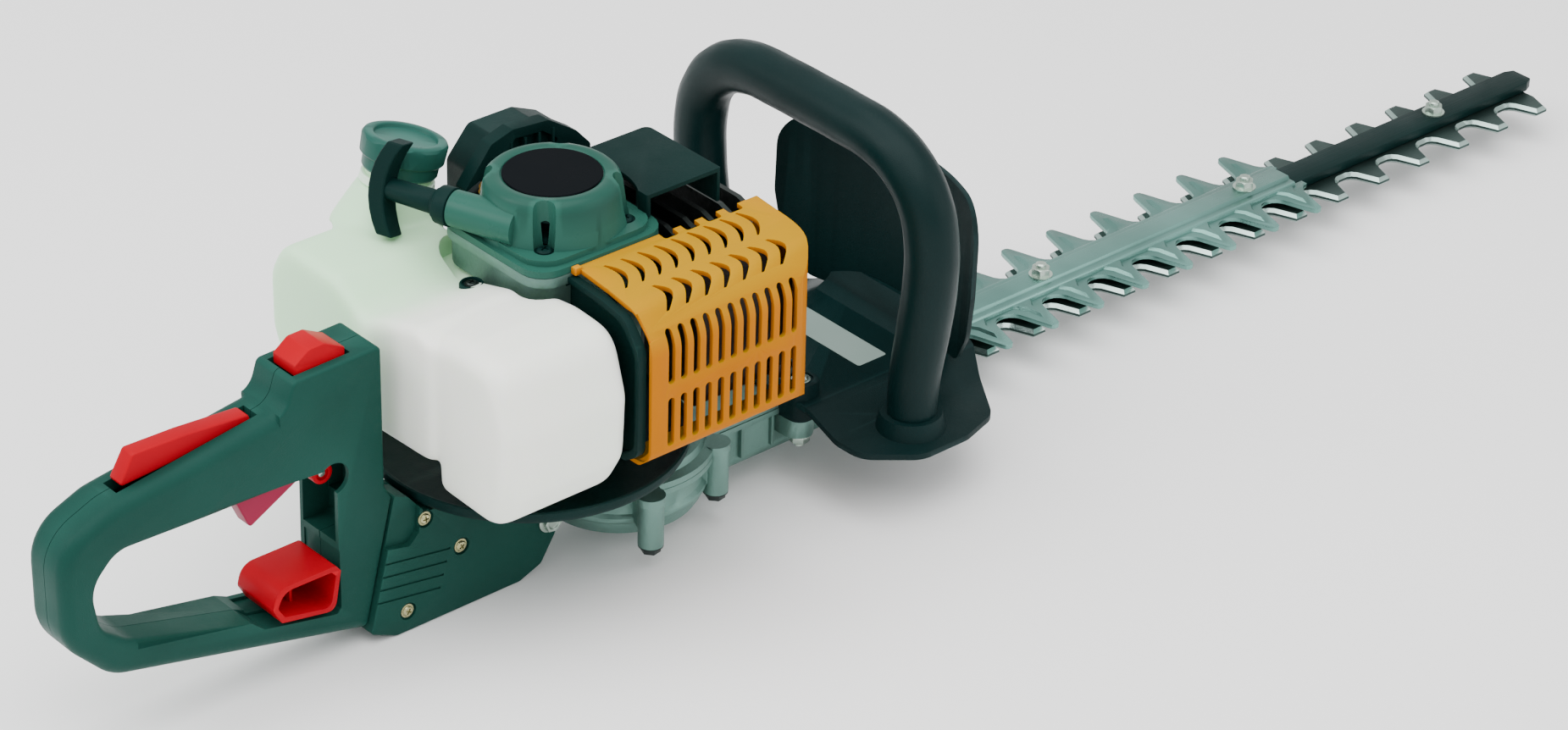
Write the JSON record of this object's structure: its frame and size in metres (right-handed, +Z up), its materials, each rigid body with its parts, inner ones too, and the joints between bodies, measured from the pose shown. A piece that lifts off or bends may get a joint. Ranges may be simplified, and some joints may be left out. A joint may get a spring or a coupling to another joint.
{
  "type": "petrol hedge trimmer",
  "caption": "Petrol hedge trimmer with a double-sided reciprocating blade, loop front handle on a guard plate, recoil-start engine and swivelling rear handle.",
  "frame": {"origin": "middle of the footprint of the whole machine, on the surface it rests on", "axes": "+X along the blades towards their tip, +Y to the operator's left, +Z up"},
  "size_m": [1.058, 0.2132, 0.2264],
  "materials": {
    "blade_steel": "polished on the bevels, dark between them",
    "bar_steel": "dark oiled steel",
    "stamped_aluminium": "satin stamping",
    "cast_aluminium": "as cast, tumbled",
    "zinc_steel": "zinc plated",
    "dark_steel": "dark oiled steel",
    "dark_plastic": "finely textured moulding",
    "black_plastic": "finely textured moulding",
    "grey_plastic": "semi-gloss moulding",
    "red_plastic": "semi-gloss moulding",
    "yellow_plastic": "semi-gloss moulding",
    "tank_plastic": "milky translucent moulding",
    "badge": "plain glossy disc",
    "rubber": "matt",
    "foam": "open foam",
    "rope": "braided"
  },
  "bodies": {
    "chassis": {"guide_bar": "bar_steel", "tooth_guard": "stamped_aluminium", "bar_bolt_root": "zinc_steel", "bar_bolt_middle": "zinc_steel", "bar_bolt_tip": "zinc_steel", "gear_case_lower": "cast_aluminium", "gear_case_upper": "cast_aluminium", "crankcase": "cast_aluminium", "cylinder": "cast_aluminium", "spark_plug": "zinc_steel", "spark_plug_boot": "rubber", "ignition_coil": "black_plastic", "fan_housing": "cast_aluminium", "cylinder_cover": "black_plastic", "engine_tray": "black_plastic", "starter_housing": "grey_plastic", "starter_badge": "badge", "rope_guide": "black_plastic", "fuel_tank": "tank_plastic", "intake_insulator": "black_plastic", "carburettor": "cast_aluminium", "primer_bulb": "rubber", "air_filter": "foam", "air_cleaner_cover": "black_plastic", "muffler": "dark_steel", "muffler_guard": "yellow_plastic", "heat_shield": "black_plastic", "base_plate": "dark_plastic", "hand_shield": "dark_plastic", "front_handle": "dark_plastic", "plate_bolt_right": "zinc_steel", "plate_bolt_left": "zinc_steel", "handle_bracket_right": "dark_plastic", "handle_bracket_left": "dark_plastic", "swivel_tube": "zinc_steel", "bracket_bolt": "zinc_steel"},
    "upper_blade": {"upper_blade": "blade_steel", "upper_blade_rod": "dark_steel"},
    "lower_blade": {"lower_blade": "blade_steel", "lower_blade_rod": "dark_steel"},
    "drive_gear": {"drive_gear": "dark_steel"},
    "clutch_drum": {"clutch_drum": "dark_steel"},
    "crankshaft": {"crankshaft": "dark_steel", "flywheel": "cast_aluminium", "clutch_shoe_front": "dark_steel", "clutch_shoe_rear": "dark_steel"},
    "piston": {"piston": "cast_aluminium"},
    "starter_reel": {"starter_reel": "black_plastic"},
    "starter_grip": {"starter_grip": "black_plastic", "starter_rope": "rope"},
    "fuel_cap": {"fuel_cap": "grey_plastic"},
    "choke_lever": {"choke_lever": "black_plastic"},
    "air_cleaner_knob": {"air_cleaner_knob": "black_plastic"},
    "rear_handle": {"rear_handle_right": "dark_plastic", "rear_handle_left": "dark_plastic"},
    "throttle_trigger": {"throttle_trigger": "red_plastic"},
    "throttle_lock": {"throttle_lock": "red_plastic"},
    "stop_switch": {"stop_switch": "red_plastic"},
    "swivel_lock_lever": {"swivel_lock_lever": "red_plastic"}
  },
  "joints": [
    {"name": "upper_blade_stroke", "type": "slide", "parent": "chassis", "child": "upper_blade", "axis": [1, 0, 0], "range_m": [-0.008, 0.008]},
    {"name": "lower_blade_stroke", "type": "slide", "parent": "chassis", "child": "lower_blade", "axis": [1, 0, 0], "range_m": [-0.008, 0.008]},
    {"name": "drive_gear_turn", "type": "hinge", "parent": "chassis", "child": "drive_gear", "pos_m": [-0.18125, 0, 0.03], "axis": [0, 0, 1], "continuous": true},
    {"name": "clutch_drum_turn", "type": "hinge", "parent": "chassis", "child": "clutch_drum", "pos_m": [-0.224, 0, 0.05], "axis": [0, 0, 1], "continuous": true},
    {"name": "crankshaft_turn", "type": "hinge", "parent": "chassis", "child": "crankshaft", "pos_m": [-0.224, 0, 0.12], "axis": [0, 0, 1], "continuous": true},
    {"name": "piston_stroke", "type": "slide", "parent": "chassis", "child": "piston", "axis": [1, 0, 0], "range_m": [-0.015, 0.015]},
    {"name": "starter_pull", "type": "slide", "parent": "chassis", "child": "starter_grip", "axis": [-0.4158, 0.9095, 0], "range_m": [0, 0.6], "deforming": ["starter_rope"]},
    {"name": "starter_reel_turn", "type": "hinge", "parent": "chassis", "child": "starter_reel", "pos_m": [-0.224, 0, 0.198], "axis": [0, 0, 1], "range_deg": [-1200, 10]},
    {"name": "fuel_cap_turn", "type": "hinge", "parent": "chassis", "child": "fuel_cap", "pos_m": [-0.251, 0.0842, 0.2117], "axis": [0.2588, 0, 0.9659], "range_deg": [0, 360]},
    {"name": "choke_turn", "type": "hinge", "parent": "chassis", "child": "choke_lever", "pos_m": [-0.222, 0.056, 0.128], "axis": [1, 0, 0], "range_deg": [0, 60]},
    {"name": "air_cleaner_knob_turn", "type": "hinge", "parent": "chassis", "child": "air_cleaner_knob", "pos_m": [-0.197, 0.09, 0.165], "axis": [0, 1, 0], "range_deg": [0, 90]},
    {"name": "rear_handle_swivel", "type": "hinge", "parent": "chassis", "child": "rear_handle", "pos_m": [-0.346, 0, 0.048], "axis": [0.9694, 0, -0.2453], "range_deg": [-90, 90]},
    {"name": "throttle_trigger_pull", "type": "hinge", "parent": "rear_handle", "child": "throttle_trigger", "pos_m": [-0.373, 0, 0.103], "axis": [0, 1, 0], "range_deg": [0, 11], "stiffness_Nm_per_rad": 0.6, "springref_deg": -2.86},
    {"name": "throttle_lock_press", "type": "hinge", "parent": "rear_handle", "child": "throttle_lock", "pos_m": [-0.4145, 0, 0.1485], "axis": [0, -1, 0], "range_deg": [0, 5], "stiffness_Nm_per_rad": 0.5, "springref_deg": -2.86},
    {"name": "stop_switch_rock", "type": "hinge", "parent": "rear_handle", "child": "stop_switch", "pos_m": [-0.3735, 0, 0.1665], "axis": [0, 1, 0], "range_deg": [-6, 6]},
    {"name": "swivel_lock_pull", "type": "slide", "parent": "rear_handle", "child": "swivel_lock_lever", "axis": [-1, 0, 0], "range_m": [0, 0.005], "stiffness_N_per_m": 600, "springref_m": -0.001}
  ],
  "couplings": [
    {"joint": "lower_blade_stroke", "follows": "upper_blade_stroke", "ratio": -1},
    {"joint": "clutch_drum_turn", "follows": "drive_gear_turn", "ratio": -3.75},
    {"joint": "starter_reel_turn", "follows": "starter_pull", "rad_per_m": -32.57}
  ]
}
